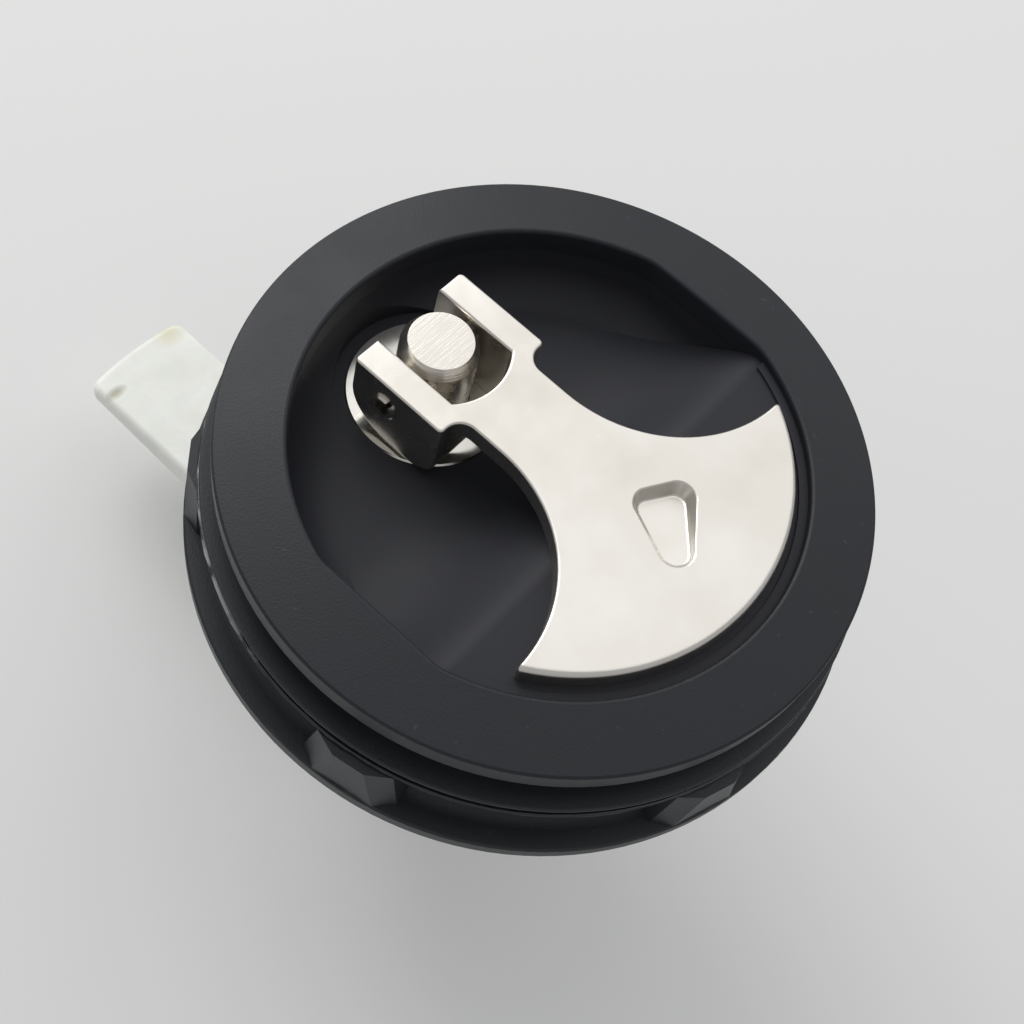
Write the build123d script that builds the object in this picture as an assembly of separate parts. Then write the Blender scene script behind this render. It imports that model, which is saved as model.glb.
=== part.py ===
"""Floor hatch latch: a flush round body, a lifting handle with cam ears, and a tongue on a long spindle.

The origin is the centre of the gasket's underside, the plane that lies on the hatch.
X runs along the handle, from the spindle to the blade. Z points out of the hatch face.
"""
from build123d import *
import os
from math import cos, radians, sin

# Clearances
running_clearance = 0.05
thread_clearance = 0.05
cam_clearance = 0.05
stop_clearance = 0.05

# Body, its flange and its finger recess
flange_overhang = 4.5
flange_rim_height = 3.4
flange_rise = 1.2
flange_edge_round = 0.4
recess_wall = 4.6
recess_flat_cut = 1.3
recess_corner_round = 8.0
recess_edge_round = 0.5
recess_wall_depth = 4.0
recess_depth = 11.2
recess_wall_taper = 8.0
recess_floor_round = 5.5
ledge_depth = 1.8
ledge_start = 10.5
ramp_length = 20.5
ramp_crest = 4.0
ramp_foot = 11.5
curb_height = 0.4
curb_width = 1.2

# Barrel and the hollow underside
barrel_radius = 38.0
barrel_length = 21.2
barrel_wall = 3.4
floor_wall = 3.0
rib_thickness = 2.4
rib_height = 9.0
rib_angles = (0, 75, 180, 285)

# Gasket
gasket_thickness = 1.2
gasket_hole_gap = 0.6
gasket_edge_gap = 1.3

# Ring nut
nut_gap = 3.4
nut_ring_wall = 5.5
nut_ring_flare = 0.6
nut_ring_height = 1.7
nut_hub_wall = 2.2
nut_hub_round = 3.0
nut_edge_round = 0.3
nut_disc_width = 8.0
nut_disc_thickness = 2.5
nut_height = 13.0
lug_count = 6
lug_first_angle = 40.5
lug_top_drop = 0.4
lug_top_inset = 0.6
lug_foot_width = 14.0
lug_root_width = 10.7
lug_tip_width = 4.4
lug_bury = 0.5
lug_shoulder = 0.3
lug_foot_inset = 0.35

# Spindle and its boss
spindle_edge_distance = 13.4
spindle_radius = 5.3
spindle_head_rise = 0.2
spindle_chamfer_height = 1.6
spindle_chamfer_width = 0.95
boss_radius = 10.0
boss_length = 18.6
bush_wall = 1.65
bush_length = 11.0
o_ring_depth = 6.8
o_ring_section = 1.7
o_ring_groove_width = 2.1
rod_radius = 4.0
rod_flat_half = 3.0
rod_below_nut = 2.0
rod_end_bevel = 0.8
flats_above_tongue = 12.0

# Room for the ears to turn in
swing_gap = 2.9

# Wear washer
washer_radius = 11.3
washer_thickness = 1.5
washer_proud = 0.2
washer_edge_bevel = 0.2

# Handle
blade_thickness = 3.0
blade_gap = 2.3
blade_edge_round = 0.9
handle_edge_round = 0.4
horn_arc_radius = 20.0
horn_tip_place = 16.0
neck_half_width = 6.4
neck_root_round = 2.4
fork_half_width = 10.0
fork_corner_round = 0.7
fork_gap_half = 5.7
fork_gap_reach = 9.1
ear_front = 9.1
ear_corner_radius = 3.6
cam_reach = 7.6
cam_drop = 1.9
cam_steps = 12
lift_angle = 90.0
turn_angle = 90.0
dimple_centre = (14.7, 2.1)
dimple_corners = ((-2.6, -0.2), (-0.8, 3.0), (3.4, -2.8))
dimple_corner_radius = 2.4
dimple_depth = 1.4
dimple_tilt = 5.0
dimple_wall_slope = 30.0
dimple_floor_round = 0.4
dimple_lip_round = 0.3

# Cross pin
pin_radius = 2.0
pin_bore_radius = 1.1
pin_slot_width = 0.7
pin_slot_angle = 60.0
pin_edge_bevel = 0.3
pin_proud = 0.5

# Spring stack under the boss
spring_washer_radius = 10.0
spring_washer_thickness = 1.0
spring_length = 14.0
spring_mean_radius = 7.5
spring_wire_radius = 0.9
spring_turns = 5.0
seat_washer_thickness = 1.2
ring_thickness = 1.0
ring_outer_radius = 8.5
ring_body_width = 2.3
ring_finger_width = 3.0
ring_finger_angles = (60, 180, 300)
ring_mouth_step = 0.5
ring_groove_depth = 1.2
shank_below_ring = 1.8

# Quarter-turn stop
stop_pin_radius = 1.5
stop_pin_reach = 9.3
stop_pin_bevel = 0.3
stop_pin_above_boss_end = 4.5
stop_notch_height = 6.6

# Tongue and its fasteners
tongue_drop = 65.4
tongue_thickness = 8.0
tongue_tip_thickness = 3.4
tongue_width = 20.4
tongue_reach = 61.8
tongue_edge_round = 1.2
tongue_tip_round = 2.2
tongue_washer_radius = 8.0
tongue_washer_thickness = 1.4
split_washer_radius = 7.2
split_washer_thickness = 2.0
split_washer_gap = 1.2
split_slant = 25.0
hex_across_flats = 13.0
thin_nut_height = 4.0
full_nut_height = 6.5
nut_bevel_height = 0.9
nut_bevel_width = 0.5

# Radii and places
flange_radius = barrel_radius + flange_overhang
recess_radius = barrel_radius - recess_wall
recess_half_width = recess_radius - recess_flat_cut
gasket_inner_radius = barrel_radius + gasket_hole_gap
gasket_outer_radius = flange_radius - gasket_edge_gap
nut_ring_radius = barrel_radius + nut_ring_wall
nut_hub_radius = barrel_radius + nut_hub_wall
nut_disc_radius = barrel_radius + nut_disc_width
lug_top_radius = nut_disc_radius - lug_top_inset
spindle_offset = recess_radius - spindle_edge_distance
blade_radius = recess_radius - blade_gap
horn_tip_reach = spindle_offset + horn_tip_place
blade_edge_reach = spindle_offset + blade_radius
bush_radius = spindle_radius + running_clearance + bush_wall
nut_corner_radius = hex_across_flats / 2 / cos(radians(30))
rod_hole_radius = rod_radius + thread_clearance
spindle_hole_radius = spindle_radius + running_clearance
ring_groove_radius = spindle_radius - ring_groove_depth
ear_swing_radius = fork_half_width + swing_gap

# Heights
flange_bottom = gasket_thickness
rim_top = flange_bottom + flange_rim_height
recess_top = rim_top + flange_rise
dome_peak = rim_top + flange_rise * (flange_radius - recess_half_width) / (flange_radius - recess_radius)
ledge_top = recess_top - ledge_depth
recess_wall_foot = recess_top - recess_wall_depth
floor_top = recess_top - recess_depth
floor_bottom = floor_top - floor_wall
washer_top = floor_top + washer_proud
washer_bottom = washer_top - washer_thickness
pin_height = washer_top + cam_reach
handle_top = ledge_top + blade_thickness
spindle_top = handle_top + spindle_head_rise
barrel_bottom = flange_bottom - barrel_length
boss_bottom = floor_bottom - boss_length
bush_top = washer_bottom - washer_thickness
nut_top = -nut_gap
nut_ring_bottom = nut_top - nut_ring_height
nut_bottom = nut_top - nut_height
nut_disc_top = nut_bottom + nut_disc_thickness
spring_top = boss_bottom - spring_washer_thickness
spring_bottom = spring_top - spring_length
seat_washer_bottom = spring_bottom - seat_washer_thickness
ring_bottom = seat_washer_bottom - ring_thickness
shank_bottom = ring_bottom - shank_below_ring
stop_pin_height = boss_bottom + stop_pin_above_boss_end
tongue_top = -tongue_drop
tongue_bottom = tongue_top - tongue_thickness
lower_washer_bottom = tongue_bottom - tongue_washer_thickness
split_washer_bottom = lower_washer_bottom - split_washer_thickness
lower_nut_bottom = split_washer_bottom - full_nut_height
rod_bottom = lower_nut_bottom - rod_below_nut


def tube(outer, inner, bottom, top, x=0.0):
    """Upright ring between two heights, about the axis at x."""
    middle = (bottom + top) / 2
    height = top - bottom
    return Pos(x, 0, middle) * (Cylinder(outer, height) - Cylinder(inner, height))


def rod(radius, bottom, top, x=0.0):
    """Upright cylinder between two heights, about the axis at x."""
    return Pos(x, 0, (bottom + top) / 2) * Cylinder(radius, top - bottom)


def block(x_range, y_range, z_range):
    """Square block between the given limits."""
    size = [high - low for low, high in (x_range, y_range, z_range)]
    centre = [(high + low) / 2 for low, high in (x_range, y_range, z_range)]
    return Pos(*centre) * Box(*size)


def recess_outline(radius, half_width):
    """Plan of the recess: a circle with two short straight sides along the handle."""
    plan = Circle(radius) & Rectangle(2 * radius, 2 * half_width)
    return fillet(plan.vertices(), recess_corner_round)


def ramp_and_ledge(drop, shift):
    """Block under the smooth ramp and the ledge, lowered and moved along for the hollow side."""
    foot = (ledge_start - ramp_length + shift, floor_top - drop)
    crest = (ledge_start + shift, ledge_top - drop)
    slope = Bezier(foot, (foot[0] + ramp_foot, foot[1]), (crest[0] - ramp_crest, crest[1]), crest)
    far = flange_radius
    low = barrel_bottom
    sides = Polyline(crest, (far, crest[1]), (far, low), (foot[0], low), foot)
    face = Plane.XZ * make_face(slope + sides)
    return extrude(face, amount=far, both=True)


def recess_cut():
    """Hollow of the finger recess, with its straight wall, sloping lower wall and ledge."""
    plan = recess_outline(recess_radius, recess_half_width)
    upper = extrude(Pos(0, 0, recess_wall_foot) * plan, amount=2 * recess_wall_depth)
    lower = extrude(
        Pos(0, 0, recess_wall_foot) * plan,
        amount=recess_wall_foot - floor_top,
        dir=(0, 0, -1),
        taper=recess_wall_taper,
    )
    floor_edges = lower.faces().sort_by(Axis.Z)[0].edges()
    lower = fillet(floor_edges, recess_floor_round)
    hollow = (upper + lower) - ramp_and_ledge(0, 0)
    curb_top = ledge_top + curb_height
    curb = tube(recess_radius + curb_width, recess_radius - curb_width, ledge_top, curb_top)
    curb = curb & block((ledge_start, flange_radius), (-flange_radius, flange_radius), (ledge_top, curb_top))
    return hollow - curb


def stop_notch():
    """Notch in the end of the boss, as wide as the stop pin's quarter turn."""
    half = stop_pin_radius + stop_clearance
    reach = boss_radius + 1
    heights = (boss_bottom, boss_bottom + stop_notch_height)
    side = block((0, reach), (-half, half), heights)
    far = 2 * boss_radius
    corners = [(0, 0)]
    for share in (0, 0.5, 1):
        angle = radians(turn_angle * share)
        corners.append((far * cos(angle), far * sin(angle)))
    sector = Pos(0, 0, boss_bottom) * make_face(Polyline(*corners, close=True))
    wedge = extrude(sector, amount=stop_notch_height) & rod(reach, *heights)
    quarter = side + Rot(0, 0, turn_angle) * side + wedge
    return Pos(-spindle_offset, 0, 0) * Rot(0, 0, -90) * quarter


def make_rib(angle):
    """Rib under the floor, from the boss to the barrel wall."""
    half = rib_thickness / 2
    rib_bottom = floor_bottom - rib_height
    rib_top = ledge_top - floor_wall / 2
    rib = block((boss_radius - half, 3 * barrel_radius), (-half, half), (rib_bottom, rib_top))
    rib = Pos(-spindle_offset, 0, 0) * Rot(0, 0, angle) * rib
    return rib & rod(barrel_radius - barrel_wall / 2, rib_bottom, ledge_top)


def make_body():
    """Moulded body: flange, recess, barrel, hollow underside, ribs and spindle boss."""
    flange = extrude(Pos(0, 0, flange_bottom) * Circle(flange_radius), amount=flange_rim_height)
    dome = Pos(0, 0, (rim_top + dome_peak) / 2) * Cone(flange_radius, recess_half_width, dome_peak - rim_top)
    barrel = rod(barrel_radius, barrel_bottom, flange_bottom)
    shell = flange + dome + barrel
    rim = shell.edges().filter_by(GeomType.CIRCLE).filter_by(lambda e: abs(e.radius - flange_radius) < 0.01)
    shell = fillet(rim, flange_edge_round)
    shell = shell - recess_cut()
    mouth = [e for e in shell.edges() if min(v.Z for v in e.vertices()) > rim_top + flange_rise / 2]
    shell = fillet(mouth, recess_edge_round)
    inner_radius = barrel_radius - barrel_wall
    underside = rod(inner_radius, barrel_bottom, floor_bottom)
    deep = rod(inner_radius, floor_bottom, ledge_top - floor_wall)
    deep = deep & ramp_and_ledge(floor_wall, floor_wall)
    boss = rod(boss_radius, boss_bottom, floor_bottom + floor_wall / 2, -spindle_offset)
    shell = shell - (underside + deep) + boss
    hollow = recess_cut()
    for angle in rib_angles:
        shell = shell + (make_rib(angle) - hollow)
    shell = shell - rod(ear_swing_radius, floor_top, recess_wall_foot, -spindle_offset)
    shell = shell - rod(washer_radius, washer_bottom, floor_top, -spindle_offset)
    shell = shell - rod(spindle_hole_radius, bush_top, washer_bottom, -spindle_offset)
    shell = shell - rod(bush_radius, boss_bottom, bush_top, -spindle_offset)
    return shell - stop_notch()


def lug_outline(root_width, tip_width, reach):
    """Plan of a grip lug at one height: straight root in the hub and a narrower tip."""
    root = nut_hub_radius - lug_bury
    shoulder = nut_ring_radius + lug_shoulder
    side = [(root, root_width / 2), (shoulder, root_width / 2), (reach, tip_width / 2)]
    other = [(x, -y) for x, y in reversed(side)]
    return make_face(Polyline(*side, *other, close=True))


def make_ring_nut():
    """Clamping nut: flared ring, hub, wide disc and the grip lugs between them."""
    ring_top_radius = nut_ring_radius + nut_ring_flare
    ring = Cone(nut_ring_radius, ring_top_radius, nut_ring_height)
    ring = Pos(0, 0, nut_top - nut_ring_height / 2) * ring
    hub = rod(nut_hub_radius, nut_disc_top, nut_ring_bottom)
    nut = ring + hub + rod(nut_disc_radius, nut_bottom, nut_disc_top)
    circles = nut.edges().filter_by(GeomType.CIRCLE)
    outer = [e for e in circles if e.radius > nut_hub_radius + nut_hub_round]
    nut = fillet(outer, nut_edge_round)
    hub_circles = [e for e in nut.edges().filter_by(GeomType.CIRCLE) if abs(e.radius - nut_hub_radius) < 0.01]
    hub_foot = sorted(hub_circles, key=lambda e: e.center().Z)[0]
    nut = fillet(hub_foot, nut_hub_round)
    foot = lug_outline(lug_foot_width, 2 * lug_tip_width, nut_disc_radius - lug_foot_inset)
    top = lug_outline(lug_root_width, lug_tip_width, lug_top_radius)
    lug_top = nut_ring_bottom - lug_top_drop
    lug = loft([Pos(0, 0, nut_disc_top - nut_edge_round) * foot, Pos(0, 0, lug_top) * top], ruled=True)
    for index in range(lug_count):
        nut = nut + Rot(0, 0, lug_first_angle + index * 360 / lug_count) * lug
    return nut - rod(barrel_radius + thread_clearance, nut_bottom, nut_top)


def make_gasket():
    """Flat rubber ring under the flange."""
    return tube(gasket_outer_radius, gasket_inner_radius, 0, gasket_thickness)


def make_wear_washer():
    """Washer let into the pocket floor, for the ears to ride on."""
    washer = tube(washer_radius, spindle_hole_radius, washer_bottom, washer_top, -spindle_offset)
    return chamfer(washer.faces().sort_by(Axis.Z)[-1].edges(), washer_edge_bevel)


def cam_point(lift):
    """Where an ear touches its washer, seen from the pin, with the handle lifted by this many degrees."""
    angle = radians(lift)
    reach = cam_reach - cam_clearance - cam_drop * lift / lift_angle
    change = -cam_drop / radians(lift_angle)
    return (-reach * sin(angle) - change * cos(angle), -reach * cos(angle) + change * sin(angle))


def ear_side():
    """Side view of an ear about the pin: flat foot, spiral cam and upright tip."""
    top = handle_top - pin_height
    points = [cam_point(lift_angle * step / cam_steps) for step in range(cam_steps + 1)]
    foot = points[0]
    tip = points[-1]
    cam = Spline(*points, tangents=[(-1, 0), (0, 1)])
    corner = (ear_front, foot[1])
    rest = Polyline(tip, (tip[0], top), (ear_front, top), corner, foot)
    side = make_face(cam + rest)
    lower_corner = side.vertices().sort_by(Axis.X)[-2:].sort_by(Axis.Y)[0]
    return fillet(lower_corner, ear_corner_radius)


def handle_plan():
    """Plan of the handle from the spindle axis: fork, neck and crescent blade."""
    horn_centre = horn_tip_reach - horn_arc_radius
    horn_half = neck_half_width + horn_arc_radius
    blade = Pos(spindle_offset, 0) * Circle(blade_radius)
    front = Pos(horn_centre + blade_radius, 0) * Rectangle(2 * blade_radius, 2 * horn_half)
    blade = blade & front
    for side in (-1, 1):
        blade = blade - Pos(horn_centre, side * horn_half) * Circle(horn_arc_radius)
    neck_length = horn_centre - ear_front + 1
    neck = Pos((horn_centre + ear_front) / 2, 0) * Rectangle(neck_length, 2 * neck_half_width)
    fork = Pos(ear_front / 2, 0) * Rectangle(ear_front, 2 * fork_half_width)
    plan = blade + neck + fork
    roots = [v for v in plan.vertices() if abs(v.X - ear_front) < 0.01 and abs(v.Y) < fork_half_width - 0.01]
    return fillet(roots, neck_root_round)


def dimple():
    """Sunk rounded triangle in the blade, with a sloping floor."""
    corners = [Pos(x, y) * Circle(dimple_corner_radius) for x, y in dimple_corners]
    plan = make_hull([edge for corner in corners for edge in corner.edges()])
    tool = extrude(plan, amount=blade_thickness, dir=(0, 0, -1), taper=dimple_wall_slope)
    above = Pos(0, 0, blade_thickness) * Box(blade_radius, blade_radius, 2 * blade_thickness)
    tool = tool & (Pos(0, 0, -dimple_depth) * Rot(-dimple_tilt, -dimple_tilt, 0) * above)
    tool = fillet(tool.faces().sort_by(Axis.Z)[0].edges(), dimple_floor_round)
    return Pos(blade_edge_reach - dimple_centre[0], dimple_centre[1], handle_top) * tool


def make_handle():
    """Cast handle: flat blade on the ledge and two cam ears either side of the spindle."""
    plate = extrude(Pos(0, 0, ledge_top) * handle_plan(), amount=blade_thickness)
    ears = extrude(Plane.XZ * (Pos(0, pin_height) * ear_side()), amount=fork_half_width, both=True)
    tall = 2 * recess_radius
    open_end = Pos(-recess_radius / 2, 0, 0) * Box(recess_radius, 2 * fork_gap_half, tall)
    round_end = Cylinder(fork_gap_reach, tall) & Box(tall, 2 * fork_gap_half, tall)
    handle = (plate + ears) - (open_end + round_end)
    upright = handle.edges().filter_by(Axis.Z)
    front = [e for e in upright if abs(e.center().X - ear_front) < 0.01 and abs(e.center().Y) > fork_gap_half]
    handle = fillet(front, fork_corner_round)
    rim = handle.faces().sort_by(Axis.Z)[-1].outer_wire().edges()
    outer = [e for e in rim if e.geom_type == GeomType.CIRCLE and abs(e.radius - blade_radius) < 0.01]
    handle = fillet(outer, blade_edge_round)
    rim = handle.faces().sort_by(Axis.Z)[-1].outer_wire().edges()
    rim = [e for e in rim if e.geom_type != GeomType.CIRCLE or e.radius < blade_radius - 2 * blade_edge_round]
    handle = fillet(rim, handle_edge_round)
    bore = Pos(0, 0, pin_height) * Rot(90, 0, 0) * Cylinder(pin_radius, 3 * fork_half_width)
    handle = handle - bore - dimple()
    lip = handle.faces().sort_by(Axis.Z)[-1].inner_wires()[0].edges()
    handle = fillet(lip, dimple_lip_round)
    return Pos(-spindle_offset, 0, 0) * handle


def make_cross_pin():
    """Slotted spring pin pressed in the ears, which stands slightly proud of them."""
    length = 2 * (fork_half_width + pin_proud)
    pin = Cylinder(pin_radius, length)
    pin = chamfer(pin.edges().filter_by(GeomType.CIRCLE), pin_edge_bevel)
    slot = Pos(pin_radius, 0, 0) * Box(2 * pin_radius, pin_slot_width, 2 * length)
    pin = pin - Cylinder(pin_bore_radius, 2 * length) - Rot(0, 0, pin_slot_angle) * slot
    return Pos(-spindle_offset, 0, pin_height) * Rot(90, 0, 0) * pin


def make_spindle():
    """Turned spindle: chamfered head, seal groove, ring groove and a long rod with two flats."""
    shank = rod(spindle_radius, shank_bottom, spindle_top - spindle_chamfer_height)
    top_radius = spindle_radius - spindle_chamfer_width
    crown = Cone(spindle_radius, top_radius, spindle_chamfer_height)
    crown = Pos(0, 0, spindle_top - spindle_chamfer_height / 2) * crown
    lower = rod(rod_radius, rod_bottom, shank_bottom)
    lower = chamfer(lower.faces().sort_by(Axis.Z)[0].edges(), rod_end_bevel)
    flats_top = tongue_top + flats_above_tongue
    flats = block((-rod_radius, rod_radius), (-rod_flat_half, rod_flat_half), (rod_bottom, flats_top))
    upper_rod = block((-rod_radius, rod_radius), (-rod_radius, rod_radius), (flats_top, shank_bottom))
    lower = lower & (flats + upper_rod)
    spindle = shank + crown + lower
    seal_height = washer_bottom - o_ring_depth
    groove_half = o_ring_groove_width / 2
    groove_floor = spindle_radius - o_ring_section
    outside = 2 * spindle_radius
    spindle = spindle - tube(outside, groove_floor, seal_height - groove_half, seal_height + groove_half)
    spindle = spindle - tube(outside, ring_groove_radius, ring_bottom, seat_washer_bottom)
    across = Rot(90, 0, 0)
    cross_bore = Pos(0, 0, pin_height) * across * Cylinder(pin_radius + running_clearance, 2 * outside)
    stop_bore = Pos(0, 0, stop_pin_height) * across * Cylinder(stop_pin_radius, 2 * outside)
    return Pos(-spindle_offset, 0, 0) * (spindle - cross_bore - stop_bore)


def make_o_ring():
    """Seal between the spindle's groove and the bush."""
    section = o_ring_section / 2 - running_clearance / 2
    middle = spindle_radius - o_ring_section / 2 + running_clearance / 2
    return Pos(-spindle_offset, 0, washer_bottom - o_ring_depth) * Torus(middle, section)


def make_bush():
    """Plain bearing sleeve pressed in the boss."""
    return tube(bush_radius, spindle_hole_radius, bush_top - bush_length, bush_top, -spindle_offset)


def make_stop_pin():
    """Pin across the spindle, which meets the ends of the notch."""
    length = spindle_radius + stop_pin_reach
    pin = Cylinder(stop_pin_radius, length)
    pin = chamfer(pin.edges().filter_by(GeomType.CIRCLE), stop_pin_bevel)
    middle = (spindle_radius - stop_pin_reach) / 2
    return Pos(-spindle_offset, middle, stop_pin_height) * Rot(90, 0, 0) * pin


def plain_washer(outer, inner, bottom, thickness):
    """Flat washer on the spindle axis."""
    return tube(outer, inner, bottom, bottom + thickness, -spindle_offset)


def make_spring():
    """Coil spring with closed ends ground flat."""
    pitch = (spring_length - 2 * spring_wire_radius) / spring_turns
    height = pitch * spring_turns
    path = Helix(pitch, height, spring_mean_radius)
    start = Plane(path @ 0, z_dir=path % 0)
    coil = sweep(start * Circle(spring_wire_radius), path=path)
    return Pos(-spindle_offset, 0, spring_bottom + spring_wire_radius) * coil


def make_retaining_ring():
    """E-ring: an open ring with three fingers that reach into the groove."""
    inner = ring_outer_radius - ring_body_width
    ring = Circle(ring_outer_radius) - Circle(inner)
    finger = Pos(inner, 0) * Rectangle(2 * ring_body_width, ring_finger_width)
    for angle in ring_finger_angles:
        ring = ring + Rot(0, 0, angle) * finger
    ring = ring - Circle(ring_groove_radius)
    mouth_width = 2 * (ring_groove_radius - ring_mouth_step)
    ring = ring - Pos(ring_outer_radius, 0) * Rectangle(ring_outer_radius, mouth_width)
    return Pos(-spindle_offset, 0, 0) * extrude(Pos(0, 0, ring_bottom) * ring, amount=ring_thickness)


def flatted_hole(height_range):
    """Hole for the rod's two flats."""
    hole = rod(rod_hole_radius, *height_range)
    flat = rod_flat_half + thread_clearance
    return hole & block((-2 * rod_radius, 2 * rod_radius), (-flat, flat), height_range)


def make_tongue():
    """Moulded bar that turns under the hatch frame."""
    plan = Circle(tongue_reach) & (Pos(-tongue_reach / 2, 0) * Rectangle(tongue_reach, tongue_width))
    plan = fillet(plan.vertices().sort_by(Axis.X)[:2], tongue_tip_round)
    plan = plan + Circle(tongue_width / 2)
    bar = extrude(Pos(0, 0, tongue_bottom) * plan, amount=tongue_thickness)
    slope_start = -tongue_washer_radius
    tip_bottom = tongue_top - tongue_tip_thickness
    low = tongue_bottom - tongue_thickness
    slope = Polyline(
        (slope_start, tongue_bottom),
        (-tongue_reach, tip_bottom),
        (-tongue_reach, low),
        (slope_start, low),
        close=True,
    )
    bar = bar - extrude(Plane.XZ * make_face(slope), amount=tongue_width, both=True)
    rims = [e for e in bar.edges() if abs(e.tangent_at(0.5).Z) < 0.5]
    rims = [e for e in rims if abs(e.center().X - slope_start) > 0.01]
    bar = fillet(rims, tongue_edge_round)
    bar = bar - flatted_hole((tongue_bottom - 1, tongue_top + 1))
    return Pos(-spindle_offset, 0, 0) * bar


def hex_nut(bottom, height):
    """Hexagon nut on the rod, chamfered at both faces."""
    nut = extrude(Pos(0, 0, bottom) * RegularPolygon(nut_corner_radius, 6), amount=height)
    crown = rod(nut_corner_radius, bottom, bottom + height)
    crown = chamfer(crown.edges().filter_by(GeomType.CIRCLE), nut_bevel_height, nut_bevel_width)
    nut = (nut & crown) - rod(rod_hole_radius, bottom, bottom + height)
    return Pos(-spindle_offset, 0, 0) * nut


def make_split_washer():
    """Spring washer with a slanting split."""
    washer = tube(split_washer_radius, rod_hole_radius, split_washer_bottom, lower_washer_bottom)
    middle = (split_washer_bottom + lower_washer_bottom) / 2
    slit = Box(2 * split_washer_radius, split_washer_gap, 2 * split_washer_radius)
    slit = Pos(split_washer_radius, 0, middle) * Rot(split_slant, 0, 0) * slit
    return Pos(-spindle_offset, 0, 0) * (washer - slit)


parts = {
    "body": make_body(),
    "ring_nut": make_ring_nut(),
    "flange_gasket": make_gasket(),
    "wear_washer": make_wear_washer(),
    "lift_handle": make_handle(),
    "cross_pin": make_cross_pin(),
    "spindle": make_spindle(),
    "spindle_o_ring": make_o_ring(),
    "bush": make_bush(),
    "stop_pin": make_stop_pin(),
    "upper_spring_washer": plain_washer(
        spring_washer_radius, spindle_hole_radius, spring_top, spring_washer_thickness
    ),
    "compression_spring": make_spring(),
    "spring_seat_washer": plain_washer(
        spring_washer_radius, spindle_hole_radius, seat_washer_bottom, seat_washer_thickness
    ),
    "retaining_ring": make_retaining_ring(),
    "upper_tongue_nut": hex_nut(tongue_top + tongue_washer_thickness, thin_nut_height),
    "upper_tongue_washer": plain_washer(
        tongue_washer_radius, rod_hole_radius, tongue_top, tongue_washer_thickness
    ),
    "tongue": make_tongue(),
    "lower_tongue_washer": plain_washer(
        tongue_washer_radius, rod_hole_radius, lower_washer_bottom, tongue_washer_thickness
    ),
    "split_washer": make_split_washer(),
    "lower_tongue_nut": hex_nut(lower_nut_bottom, full_nut_height),
}

os.makedirs("parts", exist_ok=True)
for name, shape in parts.items():
    export_step(shape, f"parts/{name}.step")
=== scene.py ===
"""Looks of a flush hatch latch: black nylon body and nut, cast stainless handle, white tongue."""
from math import pi, radians

import bpy
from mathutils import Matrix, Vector


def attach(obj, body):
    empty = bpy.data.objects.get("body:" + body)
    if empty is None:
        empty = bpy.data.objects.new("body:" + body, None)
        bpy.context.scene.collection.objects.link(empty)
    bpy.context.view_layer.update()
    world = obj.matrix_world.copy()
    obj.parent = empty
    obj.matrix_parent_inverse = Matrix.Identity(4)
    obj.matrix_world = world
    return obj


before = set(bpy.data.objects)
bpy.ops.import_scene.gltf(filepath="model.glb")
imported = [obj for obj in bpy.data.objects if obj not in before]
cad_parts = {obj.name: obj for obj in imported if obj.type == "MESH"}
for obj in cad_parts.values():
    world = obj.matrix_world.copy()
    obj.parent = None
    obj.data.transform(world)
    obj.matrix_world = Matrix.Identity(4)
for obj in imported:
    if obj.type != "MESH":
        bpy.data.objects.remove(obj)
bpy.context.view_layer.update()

MM = 0.001

# Sizes and places of the solids, which the finishes have to meet.
RECESS_RADIUS = 33.4 * MM
BARREL_RADIUS = 38 * MM
BARREL_PITCH = 3 * MM
BARREL_THREAD_DEPTH = 1.2 * MM
SPINDLE_X = -20 * MM
SPINDLE_TOP = 7.2 * MM
ROD_RADIUS = 4 * MM
ROD_PITCH = 1.25 * MM
ROD_THREAD_DEPTH = 0.55 * MM
ROD_THREAD_TOP = -51.5 * MM
TONGUE_TOP = -65.4 * MM

# Where the flash of the ring nut and the studio floor go.
FLASH_RADIUS = 43.86 * MM
FLASH_HEIGHT = -4.95 * MM
FLOOR_HEIGHT = -86 * MM


def linear(hex_colour):
    """Linear colour with alpha 1 from an sRGB hex value."""
    parts = [int(hex_colour[i:i + 2], 16) / 255 for i in (1, 3, 5)]
    return [c / 12.92 if c <= 0.04045 else ((c + 0.055) / 1.055) ** 2.4 for c in parts] + [1]


def per_mm(size):
    """Scale of a pattern whose features are about this many millimetres across."""
    return 1 / (size * MM)


def add_node(tree, kind, sockets=None, **settings):
    """Adds one node, sets its properties, and gives its inputs values or other nodes' outputs."""
    new = tree.nodes.new(kind)
    for name, value in settings.items():
        setattr(new, name, value)
    for name, value in (sockets or {}).items():
        if isinstance(value, bpy.types.NodeSocket):
            tree.links.new(value, new.inputs[name])
        else:
            new.inputs[name].default_value = value
    return new


def start_material(name):
    """New material with an empty tree: gives the material, its tree and the Object coordinates."""
    material = bpy.data.materials.new(name)
    material.use_nodes = True
    tree = material.node_tree
    tree.nodes.clear()
    place = add_node(tree, "ShaderNodeTexCoord").outputs["Object"]
    return material, tree, place


def finish_material(tree, sockets):
    """Adds the surface shader with these inputs and joins it to the output."""
    shader = add_node(tree, "ShaderNodeBsdfPrincipled", sockets)
    add_node(tree, "ShaderNodeOutputMaterial", {"Surface": shader.outputs[0]})


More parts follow.
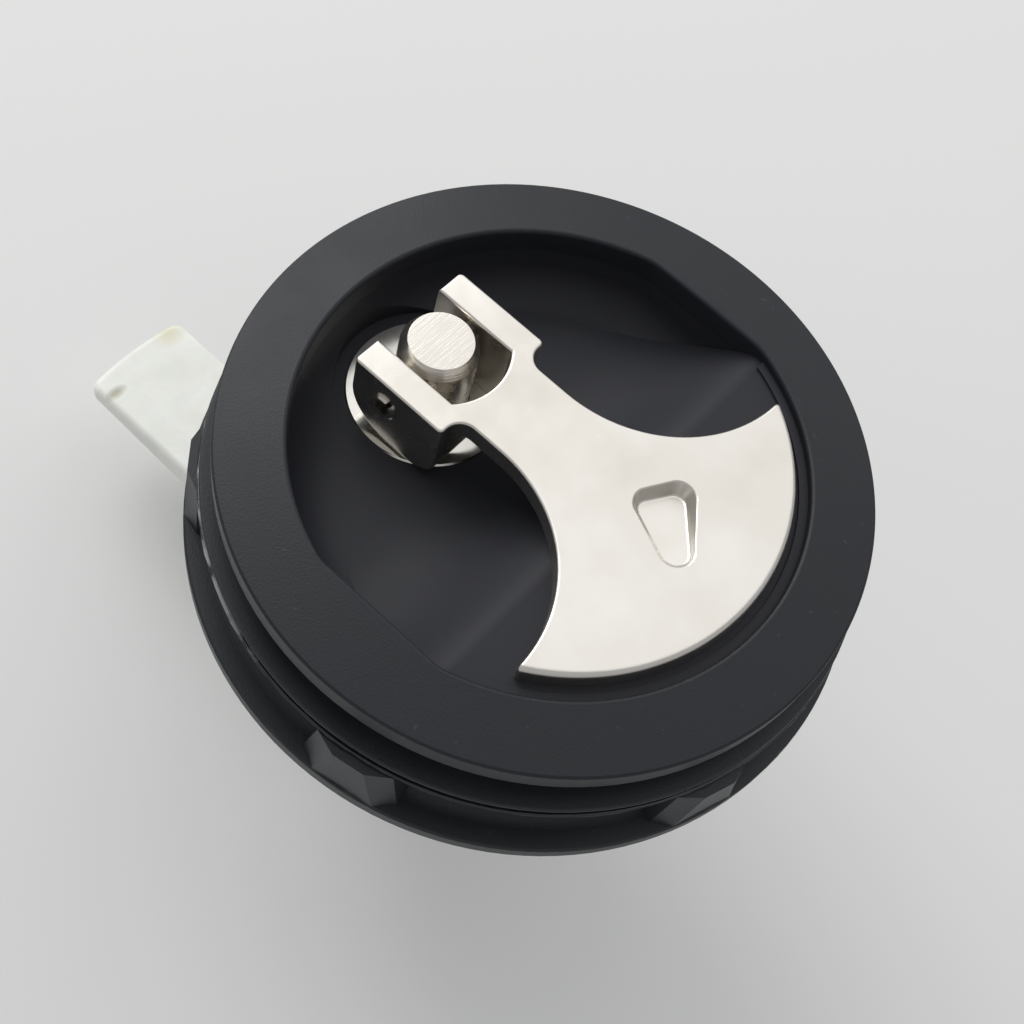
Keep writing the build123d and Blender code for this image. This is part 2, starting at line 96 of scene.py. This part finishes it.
def about_axis(tree, place, axis_x):
    """Distance from an upright axis, and the coordinates split as seen from that axis."""
    moved = add_node(tree, "ShaderNodeVectorMath",
                     {0: place, 1: (axis_x, 0, 0)}, operation="SUBTRACT")
    split = add_node(tree, "ShaderNodeSeparateXYZ", {0: moved.outputs[0]})
    flat = add_node(tree, "ShaderNodeCombineXYZ", {0: split.outputs[0], 1: split.outputs[1]})
    radius = add_node(tree, "ShaderNodeVectorMath", {0: flat.outputs[0]}, operation="LENGTH")
    return radius.outputs["Value"], split.outputs


def thread_height(tree, split, pitch, wanted):
    """Height of a screw thread that climbs by its pitch each turn: 0 in its root, 0.5 on its crest.

    It is drawn only where the wanted value is 1. Its bump's distance is twice the thread's depth.
    """
    angle = add_node(tree, "ShaderNodeMath", {0: split[1], 1: split[0]}, operation="ARCTAN2")
    turn = add_node(tree, "ShaderNodeMath", {0: angle.outputs[0], 1: 2 * pi}, operation="DIVIDE")
    climb = add_node(tree, "ShaderNodeMath", {0: split[2], 1: pitch}, operation="DIVIDE")
    phase = add_node(tree, "ShaderNodeMath",
                     {0: climb.outputs[0], 1: turn.outputs[0]}, operation="SUBTRACT")
    wave = add_node(tree, "ShaderNodeMath", {0: phase.outputs[0], 1: 0.5}, operation="PINGPONG")
    drawn = add_node(tree, "ShaderNodeMath", {0: wave.outputs[0], 1: wanted}, operation="MULTIPLY")
    return drawn.outputs[0]


def moulded_black_nylon(name, colour, spots, body=False):
    """Glass-filled nylon 6, injection moulded: near black, cold tint, spark-eroded grain, satin.

    The grain is drawn at 0.3 mm, coarser than the real one, so that it shows. The body's recess
    came from another part of the tool: it has no grain and is duller. Its colour is painted a
    little paler there, as painted light against the shade that its walls cast. Its barrel carries a
    coarse thread. The bush of black acetal takes this finish too, as only its rim shows.
    """
    material, tree, place = start_material(name)
    grain = add_node(tree, "ShaderNodeTexNoise",
                     {"Vector": place, "Scale": per_mm(0.3), "Detail": 3.0})
    cloud = add_node(tree, "ShaderNodeTexNoise",
                     {"Vector": place, "Scale": per_mm(16), "Detail": 5.0})
    tone = add_node(tree, "ShaderNodeMix",
                    {0: cloud.outputs[0], 6: linear(colour), 7: linear(spots)},
                    data_type="RGBA").outputs[2]
    specks = add_node(tree, "ShaderNodeTexNoise",
                      {"Vector": place, "Scale": per_mm(1.3), "Detail": 2.0})
    pale = add_node(tree, "ShaderNodeMapRange", {0: specks.outputs[0], 1: 0.7, 2: 0.8})
    tone = add_node(tree, "ShaderNodeMix", {0: pale.outputs[0], 6: tone, 7: linear("#2f3136")},
                    data_type="RGBA").outputs[2]
    rough = add_node(tree, "ShaderNodeMapRange",
                     {0: cloud.outputs[0], 1: 0.3, 2: 0.7, 3: 0.4, 4: 0.5}).outputs[0]
    bump = add_node(tree, "ShaderNodeBump",
                    {"Height": grain.outputs[0], "Distance": 0.045 * MM, "Strength": 0.7})
    normal = bump.outputs[0]
    if body:
        radius, split = about_axis(tree, place, 0)
        outside = add_node(tree, "ShaderNodeMapRange",
                           {0: radius, 1: RECESS_RADIUS - 0.2 * MM, 2: RECESS_RADIUS + 0.3 * MM})
        smooth = add_node(tree, "ShaderNodeBump",
                          {"Height": cloud.outputs[0], "Distance": 0.2 * MM, "Strength": 0.15})
        normal = add_node(tree, "ShaderNodeMix",
                          {0: outside.outputs[0], 4: smooth.outputs[0], 5: normal},
                          data_type="VECTOR").outputs[1]
        # Painted light: inside the recess the colour is a little paler, against the shade of its
        # walls.
        tone = add_node(tree, "ShaderNodeMix",
                        {0: outside.outputs[0], 6: linear("#1f2026"), 7: tone},
                        data_type="RGBA").outputs[2]
        rough = add_node(tree, "ShaderNodeMix",
                         {0: outside.outputs[0], 2: 0.62, 3: rough}).outputs[0]
        # The thread is on the barrel's outside and starts just under the flange.
        beyond = add_node(tree, "ShaderNodeMapRange",
                          {0: radius, 1: BARREL_RADIUS - 0.1 * MM, 2: BARREL_RADIUS - 0.05 * MM})
        within = add_node(tree, "ShaderNodeMapRange",
                          {0: radius, 1: BARREL_RADIUS + 0.3 * MM, 2: BARREL_RADIUS + 0.2 * MM})
        below = add_node(tree, "ShaderNodeMapRange", {0: split[2], 1: -0.3 * MM, 2: -0.8 * MM})
        barrel = add_node(tree, "ShaderNodeMath", {0: beyond.outputs[0], 1: within.outputs[0]},
                          operation="MULTIPLY")
        barrel = add_node(tree, "ShaderNodeMath", {0: barrel.outputs[0], 1: below.outputs[0]},
                          operation="MULTIPLY")
        thread = thread_height(tree, split, BARREL_PITCH, barrel.outputs[0])
        normal = add_node(tree, "ShaderNodeBump",
                          {"Height": thread, "Distance": 2 * BARREL_THREAD_DEPTH,
                           "Normal": normal}).outputs[0]
    finish_material(tree, {"Base Color": tone, "Roughness": rough, "IOR": 1.53,
                           "Specular IOR Level": 0.33, "Normal": normal})
    return material


def cast_stainless_satin():
    """Investment cast stainless steel, tumbled and satin polished.

    That gives a warm sheen, faint blotches, a few pits and a slightly wavy surface.
    """
    material, tree, place = start_material("cast_stainless_satin")
    cloud = add_node(tree, "ShaderNodeTexNoise",
                     {"Vector": place, "Scale": per_mm(14), "Detail": 3.0})
    patch = add_node(tree, "ShaderNodeMapRange", {0: cloud.outputs[0], 1: 0.25, 2: 0.75})
    tone = add_node(tree, "ShaderNodeMix",
                    {0: patch.outputs[0], 6: linear("#d0cac0"), 7: linear("#dedbd5")},
                    data_type="RGBA")
    rough = add_node(tree, "ShaderNodeMapRange",
                     {0: cloud.outputs[0], 1: 0.3, 2: 0.7, 3: 0.23, 4: 0.35})
    fine = add_node(tree, "ShaderNodeTexNoise",
                    {"Vector": place, "Scale": per_mm(0.5), "Detail": 4.0})
    bump = add_node(tree, "ShaderNodeBump",
                    {"Height": fine.outputs[0], "Distance": 0.012 * MM, "Strength": 0.5})
    cells = add_node(tree, "ShaderNodeTexVoronoi", {"Vector": place, "Scale": per_mm(3.2)})
    pits = add_node(tree, "ShaderNodeMapRange", {0: cells.outputs["Distance"], 1: 0.03, 2: 0.07})
    dented = add_node(tree, "ShaderNodeBump", {"Height": pits.outputs[0], "Distance": 0.03 * MM,
                                               "Strength": 0.4, "Normal": bump.outputs[0]})
    wave = add_node(tree, "ShaderNodeBump", {"Height": cloud.outputs[0], "Distance": 0.5 * MM,
                                             "Strength": 0.5, "Normal": dented.outputs[0]})
    finish_material(tree, {"Base Color": tone.outputs[2], "Metallic": 1.0,
                           "Roughness": rough.outputs[0], "Normal": wave.outputs[0]})
    return material


def turned_stainless(name, colour, line_size, roughness):
    """Stainless steel turned, rolled or drawn: fine lines around its axis and a bright even sheen.

    The real lines are finer. They are drawn at the line size, in millimetres, so that they show.
    """
    material, tree, place = start_material(name)
    squeezed = add_node(tree, "ShaderNodeMapping", {"Vector": place, "Scale": (0.02, 0.02, 1)})
    lines = add_node(tree, "ShaderNodeTexNoise",
                     {"Vector": squeezed.outputs[0], "Scale": per_mm(line_size), "Detail": 2.0})
    cloud = add_node(tree, "ShaderNodeTexNoise",
                     {"Vector": place, "Scale": per_mm(5), "Detail": 3.0})
    rough = add_node(tree, "ShaderNodeMapRange",
                     {0: cloud.outputs[0], 1: 0.3, 2: 0.7, 3: roughness, 4: roughness + 0.1})
    bump = add_node(tree, "ShaderNodeBump",
                    {"Height": lines.outputs[0], "Distance": 0.02 * MM, "Strength": 0.3})
    finish_material(tree, {"Base Color": linear(colour), "Metallic": 1.0,
                           "Roughness": rough.outputs[0], "Normal": bump.outputs[0]})
    return material


def spindle_stainless():
    """Stainless bar: turned sides, a head ground straight on a belt, a rolled thread below.

    The turned and the ground lines are drawn coarser than the real ones, so that they show.
    """
    material, tree, place = start_material("turned_stainless_spindle")
    radius, split = about_axis(tree, place, SPINDLE_X)
    squeezed = add_node(tree, "ShaderNodeMapping", {"Vector": place, "Scale": (0.02, 0.02, 1)})
    rings = add_node(tree, "ShaderNodeTexNoise",
                     {"Vector": squeezed.outputs[0], "Scale": per_mm(0.25), "Detail": 2.0})
    along_belt = add_node(tree, "ShaderNodeMapping",
                          {"Vector": place, "Rotation": (0, 0, radians(-22)),
                           "Scale": (1, 0.04, 0)})
    belt = add_node(tree, "ShaderNodeTexNoise",
                    {"Vector": along_belt.outputs[0], "Scale": per_mm(0.3), "Detail": 3.0})
    on_head = add_node(tree, "ShaderNodeMapRange",
                       {0: split[2], 1: SPINDLE_TOP - 0.08 * MM, 2: SPINDLE_TOP - 0.02 * MM})
    lines = add_node(tree, "ShaderNodeMix",
                     {0: on_head.outputs[0], 2: rings.outputs[0], 3: belt.outputs[0]})
    scored = add_node(tree, "ShaderNodeBump",
                      {"Height": lines.outputs[0], "Distance": 0.045 * MM, "Strength": 0.6})
    below = add_node(tree, "ShaderNodeMapRange",
                     {0: split[2], 1: ROD_THREAD_TOP, 2: ROD_THREAD_TOP - 0.5 * MM})
    beyond = add_node(tree, "ShaderNodeMapRange",
                      {0: radius, 1: ROD_RADIUS - 0.15 * MM, 2: ROD_RADIUS - 0.05 * MM})
    threaded = add_node(tree, "ShaderNodeMath", {0: below.outputs[0], 1: beyond.outputs[0]},
                        operation="MULTIPLY")
    thread = thread_height(tree, split, ROD_PITCH, threaded.outputs[0])
    cut = add_node(tree, "ShaderNodeBump", {"Height": thread, "Distance": 2 * ROD_THREAD_DEPTH,
                                            "Normal": scored.outputs[0]})
    cloud = add_node(tree, "ShaderNodeTexNoise",
                     {"Vector": place, "Scale": per_mm(5), "Detail": 3.0})
    rough = add_node(tree, "ShaderNodeMapRange",
                     {0: cloud.outputs[0], 1: 0.3, 2: 0.7, 3: 0.22, 4: 0.32})
    finish_material(tree, {"Base Color": linear("#d3cec6"), "Metallic": 1.0,
                           "Roughness": rough.outputs[0], "Normal": cut.outputs[0]})
    return material


def moulded_white_acetal():
    """Natural acetal, injection moulded: milky off-white, mottled, satin.

    One corner of its end has a long sunk mark, painted darker there as painted shade in the hollow,
    and the other a faint yellow stain.
    """
    stain = (-80.2 * MM, 7.2 * MM, TONGUE_TOP)
    mark = (-76.6 * MM, -8.1 * MM, TONGUE_TOP)
    material, tree, place = start_material("moulded_white_acetal")
    cloud = add_node(tree, "ShaderNodeTexNoise",
                     {"Vector": place, "Scale": per_mm(7), "Detail": 6.0, "Distortion": 0.6})
    contrast = add_node(tree, "ShaderNodeMapRange", {0: cloud.outputs[0], 1: 0.25, 2: 0.75})
    tone = add_node(tree, "ShaderNodeMix",
                    {0: contrast.outputs[0], 6: linear("#dedfd7"), 7: linear("#ebece6")},
                    data_type="RGBA").outputs[2]
    from_stain = add_node(tree, "ShaderNodeVectorMath", {0: place, 1: stain}, operation="DISTANCE")
    clear = add_node(tree, "ShaderNodeMapRange",
                     {0: from_stain.outputs["Value"], 1: 0.5 * MM, 2: 3.5 * MM})
    tone = add_node(tree, "ShaderNodeMix", {0: clear.outputs[0], 6: linear("#d9d7bd"), 7: tone},
                    data_type="RGBA").outputs[2]
    from_mark = add_node(tree, "ShaderNodeVectorMath", {0: place, 1: mark}, operation="SUBTRACT")
    long_mark = add_node(tree, "ShaderNodeVectorMath",
                         {0: from_mark.outputs[0], 1: (1, 0.5, 1)}, operation="MULTIPLY")
    away = add_node(tree, "ShaderNodeVectorMath", {0: long_mark.outputs[0]}, operation="LENGTH")
    sunk = add_node(tree, "ShaderNodeMapRange",
                    {0: away.outputs["Value"], 1: 0.3 * MM, 2: 1.3 * MM}).outputs[0]
    # Painted shade: the sunk mark is painted darker, as shade in its hollow.
    tone = add_node(tree, "ShaderNodeMix", {0: sunk, 6: linear("#b7b5a3"), 7: tone},
                    data_type="RGBA").outputs[2]
    relief = add_node(tree, "ShaderNodeMath", {0: sunk, 1: cloud.outputs[0]}, operation="ADD")
    bump = add_node(tree, "ShaderNodeBump",
                    {"Height": relief.outputs[0], "Distance": 0.5 * MM, "Strength": 0.4})
    finish_material(tree, {"Base Color": tone, "Roughness": 0.42, "IOR": 1.48,
                           "Specular IOR Level": 0.4, "Subsurface Weight": 0.15,
                           "Subsurface Scale": 2 * MM, "Normal": bump.outputs[0]})
    return material


def soft_rubber(name, colour):
    """Nitrile rubber, cut from sheet or moulded as a seal: matt black with a dusty bloom."""
    material, tree, place = start_material(name)
    cloud = add_node(tree, "ShaderNodeTexNoise",
                     {"Vector": place, "Scale": per_mm(1.5), "Detail": 4.0})
    tone = add_node(tree, "ShaderNodeMix",
                    {0: cloud.outputs[0], 6: linear(colour), 7: linear("#262626")},
                    data_type="RGBA")
    bump = add_node(tree, "ShaderNodeBump",
                    {"Height": cloud.outputs[0], "Distance": 0.05 * MM, "Strength": 0.4})
    finish_material(tree, {"Base Color": tone.outputs[2], "Roughness": 0.8,
                           "Specular IOR Level": 0.3, "Normal": bump.outputs[0]})
    return material


def thin_flash():
    """Black nylon flash, smooth from the mould's steel; its pale dashes are painted glints."""
    material, tree, place = start_material("nylon_flash_painted_glints")
    cloud = add_node(tree, "ShaderNodeTexNoise",
                     {"Vector": place, "Scale": per_mm(3), "Detail": 4.0})
    # Painted glints: pale dashes on the flash, only on the spindle's side.
    glint_dashes = add_node(tree, "ShaderNodeMapRange", {0: cloud.outputs[0], 1: 0.46, 2: 0.62})
    split = add_node(tree, "ShaderNodeSeparateXYZ", {0: place})
    glint_side = add_node(tree, "ShaderNodeMapRange", {0: split.outputs[0], 1: -4 * MM, 2: SPINDLE_X})
    pale = add_node(tree, "ShaderNodeMath", {0: glint_dashes.outputs[0], 1: glint_side.outputs[0]},
                    operation="MULTIPLY")
    tone = add_node(tree, "ShaderNodeMix",
                    {0: pale.outputs[0], 6: linear("#1d1e20"), 7: linear("#9a9c9e")},
                    data_type="RGBA")
    finish_material(tree, {"Base Color": tone.outputs[2], "Roughness": 0.16, "IOR": 1.53})
    return material


washer_steel = turned_stainless("pressed_stainless_washers", "#cfccc6", line_size=0.4,
                                roughness=0.25)
nut_steel = turned_stainless("cold_formed_stainless_nuts", "#d2cfc9", line_size=0.5, roughness=0.22)
spring_wire = turned_stainless("drawn_spring_wire", "#a9a9ab", line_size=0.3, roughness=0.28)
pin_steel = turned_stainless("rolled_stainless_pins", "#c9c4bb", line_size=0.3, roughness=0.22)
finishes = {
    "body": moulded_black_nylon("moulded_black_nylon_body", "#111318", "#191b21", body=True),
    "ring_nut": moulded_black_nylon("moulded_black_nylon_nut", "#1f2326", "#292d30"),
    "flange_gasket": soft_rubber("die_cut_rubber", "#131313"),
    "spindle_o_ring": soft_rubber("moulded_seal_rubber", "#101010"),
    "bush": moulded_black_nylon("machined_black_acetal", "#131316", "#1b1b1e"),
    "wear_washer": turned_stainless("polished_stainless_washer", "#d8d5ce", line_size=0.3,
                                    roughness=0.14),
    "lift_handle": cast_stainless_satin(),
    "cross_pin": pin_steel,
    "stop_pin": pin_steel,
    "spindle": spindle_stainless(),
    "tongue": moulded_white_acetal(),
    "upper_spring_washer": washer_steel,
    "spring_seat_washer": washer_steel,
    "upper_tongue_washer": washer_steel,
    "lower_tongue_washer": washer_steel,
    "upper_tongue_nut": nut_steel,
    "lower_tongue_nut": nut_steel,
    "compression_spring": spring_wire,
    "retaining_ring": spring_wire,
    "split_washer": spring_wire,
}
for name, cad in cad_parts.items():
    for slot in cad.material_slots:
        slot.material = finishes[name]

bpy.ops.object.select_all(action="DESELECT")


def nut_flash():
    """Thin ragged fin that the mould's parting line left along the ring of the clamping nut."""
    bpy.ops.mesh.primitive_torus_add(major_radius=FLASH_RADIUS, minor_radius=0.36 * MM,
                                     major_segments=480, minor_segments=8,
                                     location=(0, 0, FLASH_HEIGHT))
    fin = bpy.context.active_object
    fin.name = "nut_flash"
    # The fin is about a third as high as it is wide.
    bpy.ops.transform.resize(value=(1, 1, 0.35), center_override=(0, 0, FLASH_HEIGHT))
    bpy.ops.object.transform_apply(location=True, rotation=True, scale=True)
    ragged = bpy.data.textures.new("flash_raggedness", "CLOUDS")
    ragged.noise_scale = 1.3 * MM
    displace = fin.modifiers.new("ragged_edge", "DISPLACE")
    displace.texture = ragged
    displace.strength = 0.25 * MM
    displace.mid_level = 0.5
    bpy.ops.object.modifier_apply(modifier=displace.name)
    bpy.ops.object.shade_smooth()
    fin.data.materials.append(thin_flash())
    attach(fin, "ring_nut")


nut_flash()

bpy.ops.object.select_all(action="DESELECT")
bpy.ops.mesh.primitive_plane_add(size=6, location=(0, 0, FLOOR_HEIGHT))
floor = bpy.context.active_object
floor.name = "studio_floor"
floor_paint, tree = start_material("pale_studio_paper")[:2]
finish_material(tree, {"Base Color": linear("#dcdcda"), "Roughness": 0.9,
                       "Specular IOR Level": 0.2})
floor.data.materials.append(floor_paint)

world = bpy.data.worlds.new("studio_air")
bpy.context.scene.world = world
world.use_nodes = True
air = world.node_tree.nodes["Background"]
air.inputs["Color"].default_value = linear("#bcbdbf")
air.inputs["Strength"].default_value = 1.0


def softbox(name, place, size, watts):
    """Square area lamp that faces the object, as a soft studio light."""
    bpy.ops.object.light_add(type="AREA", location=place)
    lamp = bpy.context.active_object
    lamp.name = name
    lamp.rotation_euler = (-Vector(place)).to_track_quat("-Z", "Y").to_euler()
    lamp.data.size = size
    lamp.data.energy = watts


softbox("overhead_softbox", place=(-0.25, 0.66, 1.09), size=1.9, watts=7.6)
softbox("side_softbox", place=(-1.02, 0.36, 0.82), size=0.9, watts=9.0)

# The camera's place, turn and lens were worked out from the circles of the bezel and the recess.
bpy.ops.object.camera_add(location=(35.738 * MM, -92.596 * MM, 164.227 * MM),
                          rotation=(radians(27.3981), radians(-10.2131), radians(41.2825)))
camera = bpy.context.active_object
camera.name = "studio_camera"
camera.data.lens = 52.42
camera.data.sensor_width = 36
camera.data.clip_start = 0.01
bpy.context.scene.camera = camera
bpy.context.scene.view_settings.view_transform = "Standard"
